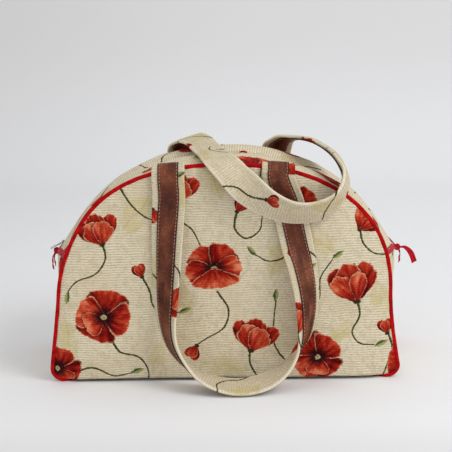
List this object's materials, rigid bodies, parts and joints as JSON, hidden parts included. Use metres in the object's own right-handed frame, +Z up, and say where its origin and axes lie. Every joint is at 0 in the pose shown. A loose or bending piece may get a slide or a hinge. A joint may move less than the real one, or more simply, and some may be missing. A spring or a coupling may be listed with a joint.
{
  "type": "travel bag",
  "caption": "Soft dome-shaped travel bag in flower-patterned tapestry cloth with piped seams, a zip over the top, ribbon ties and long handles with leather strips, for carrying clothes.",
  "frame": {"origin": "middle of the base panel's under-face, on the floor", "axes": "+X across the width to the right seen from the front, the front faces -Y, +Z up"},
  "size_m": [0.5122, 0.281, 0.3168],
  "materials": {
    "tapestry": "ribbed woven cloth with a flower pattern",
    "piping": "smooth red cloth over cord",
    "ribbon": "satin ribbon",
    "leather": "worn satin with pale stitching",
    "lining": "plain thin cloth",
    "board": "matt board",
    "zip_tape": "fine woven tape",
    "zip_teeth": "moulded coil",
    "zip_metal": "worn nickel"
  },
  "bodies": {
    "bag": {"front_panel": "tapestry", "back_panel": "tapestry", "front_gusset": "tapestry", "back_gusset": "tapestry", "left_end": "tapestry", "right_end": "tapestry", "base_panel": "tapestry", "base_board": "board", "lining": "lining", "front_piping": "piping", "back_piping": "piping", "front_tape": "zip_tape", "back_tape": "zip_tape", "front_teeth": "zip_teeth", "back_teeth": "zip_teeth", "left_stop": "zip_metal", "right_stop": "zip_metal", "front_band": "tapestry", "front_leather": "leather", "back_band": "tapestry", "back_leather": "leather", "left_tie_front": "ribbon", "left_tie_back": "ribbon", "left_knot": "ribbon", "left_tail_front": "ribbon", "left_tail_back": "ribbon", "right_tie_front": "ribbon", "right_tie_back": "ribbon", "right_knot": "ribbon", "right_tail_front": "ribbon", "right_tail_back": "ribbon"},
    "zip_slider": {"zip_slider": "zip_metal"},
    "zip_pull": {"zip_pull": "zip_metal"}
  },
  "joints": [
    {"name": "zip_slide", "type": "hinge", "parent": "bag", "child": "zip_slider", "pos_m": [0, 0, 0.02644], "axis": [0, 1, 0], "range_deg": [0, 115], "deforming": ["front_teeth", "back_teeth"]},
    {"name": "pull_swing", "type": "hinge", "parent": "zip_slider", "child": "zip_pull", "pos_m": [-0.22836, 0, 0.17135], "axis": [0, 1, 0], "range_deg": [0, 120]}
  ]
}
